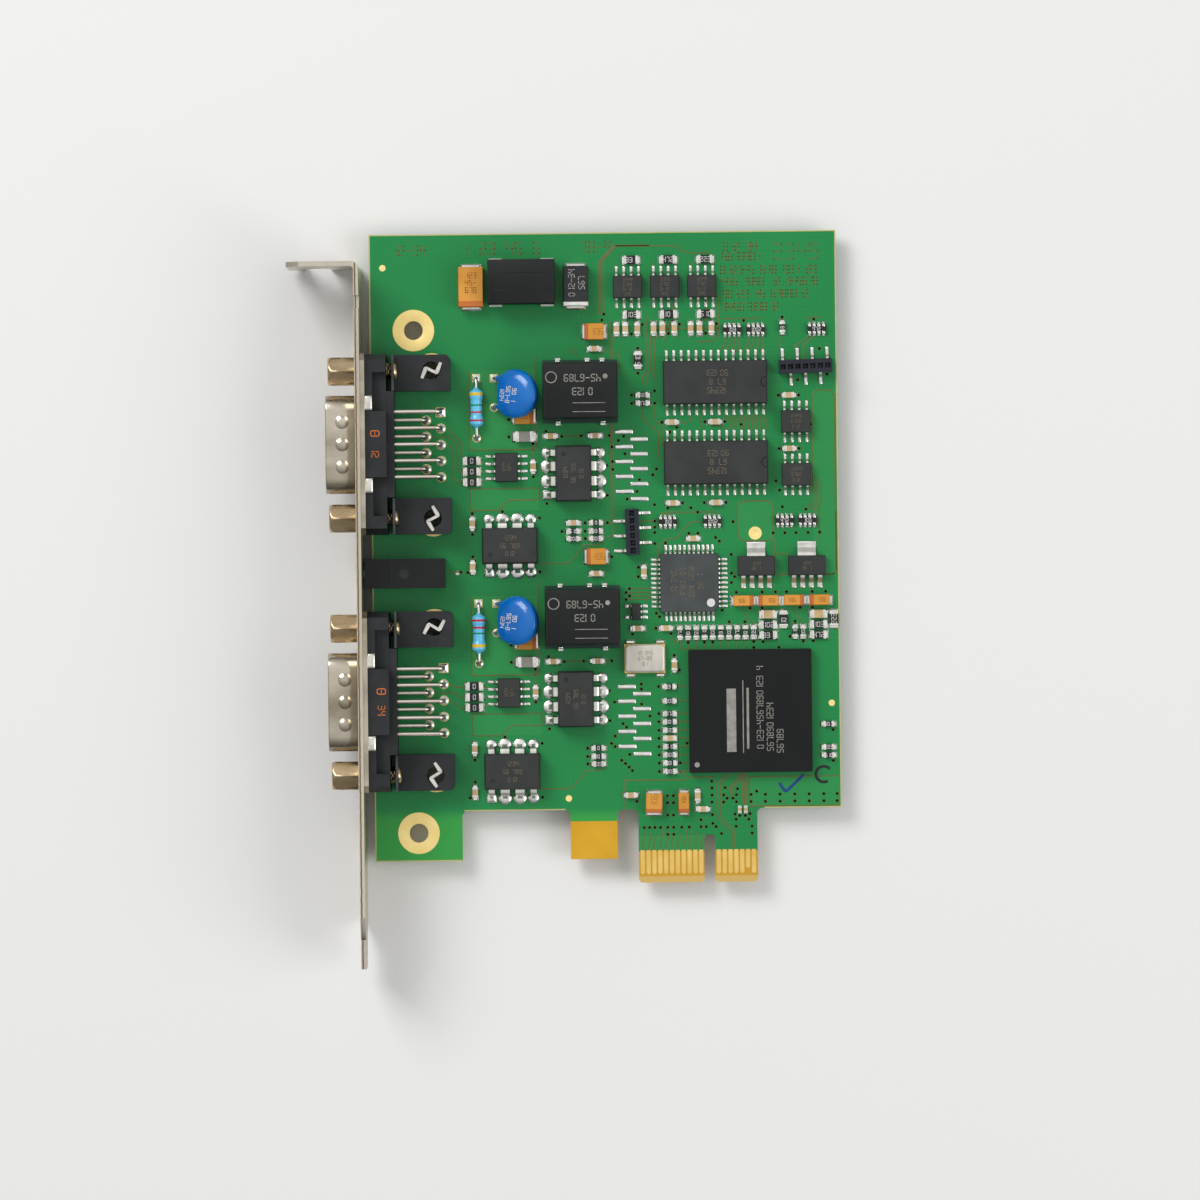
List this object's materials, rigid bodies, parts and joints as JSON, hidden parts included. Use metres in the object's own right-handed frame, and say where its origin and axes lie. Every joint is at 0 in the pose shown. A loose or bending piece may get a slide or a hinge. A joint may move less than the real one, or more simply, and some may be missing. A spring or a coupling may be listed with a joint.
{
  "type": "can interface card",
  "caption": "Expansion card with nine-pin field bus connectors on a full-height slot bracket, keyed edge contacts and isolated channels.",
  "frame": {"origin": "centre line of the key notch, at the lower edge of the contact tab, on the component face of the board", "axes": "+X away from the slot bracket, +Y away from the contact tab, +Z out of the component face"},
  "size_m": [0.0935, 0.1249, 0.0184],
  "materials": {
    "board_green": "green solder mask",
    "bracket_metal": "bright nickel plate",
    "gold_plating": "thin gold plate",
    "shell_metal": "bright tin plate",
    "black_plastic": "moulded, fine grain",
    "contact_metal": "tinned and gold flashed wire",
    "bright_tin": "bright tin",
    "jackscrew_metal": "yellowish nickel plate",
    "nut_steel": "zinc plate",
    "green_lens": "tinted clear resin",
    "package_black": "moulded epoxy",
    "bridge_black": "moulded epoxy",
    "converter_black": "moulded plastic",
    "converter_green": "dark green laminate",
    "disc_blue": "dipped epoxy",
    "resistor_blue": "lacquer with colour bands",
    "tantalum_amber": "moulded epoxy",
    "ceramic_tan": "fired ceramic with tinned ends",
    "ceramic_grey": "fired ceramic with tinned ends",
    "resistor_black": "glazed film with tinned ends",
    "oscillator_gold": "gold plated rim",
    "oscillator_lid": "brushed lid",
    "header_plastic": "moulded"
  },
  "bodies": {
    "root": {"circuit_board": "board_green", "edge_contacts": "gold_plating", "latch_tab_plating": "gold_plating", "slot_bracket": "bracket_metal", "upper_shell": "shell_metal", "lower_shell": "shell_metal", "upper_housing": "black_plastic", "lower_housing": "black_plastic", "upper_contacts": "contact_metal", "lower_contacts": "contact_metal", "upper_feet": "black_plastic", "lower_feet": "black_plastic", "nut_plates": "nut_steel", "jackscrews": "jackscrew_metal", "board_locks": "bright_tin", "light_housing": "black_plastic", "light_lens": "green_lens", "light_leads": "bright_tin", "converter_bases": "converter_green", "converter_cases": "converter_black", "converter_feet": "bright_tin", "disc_suppressors": "disc_blue", "disc_leads": "bright_tin", "axial_resistors": "resistor_blue", "axial_resistor_leads": "bright_tin", "driver_bodies": "package_black", "driver_leads": "bright_tin", "memory_bodies": "package_black", "memory_leads": "bright_tin", "transceiver_bodies": "package_black", "transceiver_leads": "bright_tin", "controller_bodies": "package_black", "controller_leads": "bright_tin", "isolator_bodies": "package_black", "isolator_leads": "bright_tin", "logic_chip": "package_black", "logic_chip_leads": "bright_tin", "bridge_chip": "bridge_black", "regulator_bodies": "package_black", "regulator_leads": "bright_tin", "monitor_chip": "package_black", "monitor_chip_leads": "bright_tin", "oscillator_base": "oscillator_gold", "oscillator_lid": "oscillator_lid", "socket_headers": "header_plastic", "header_leads": "bright_tin", "tantalum_capacitors": "tantalum_amber", "striped_capacitor": "package_black", "capacitor_terminals": "bright_tin", "input_filter": "converter_black", "input_filter_terminals": "bright_tin", "chip_capacitors": "ceramic_tan", "large_chip_capacitors": "ceramic_grey", "tiny_chip_capacitors": "ceramic_tan", "chip_resistors": "resistor_black", "resistor_networks": "resistor_black"}
  },
  "joints": []
}
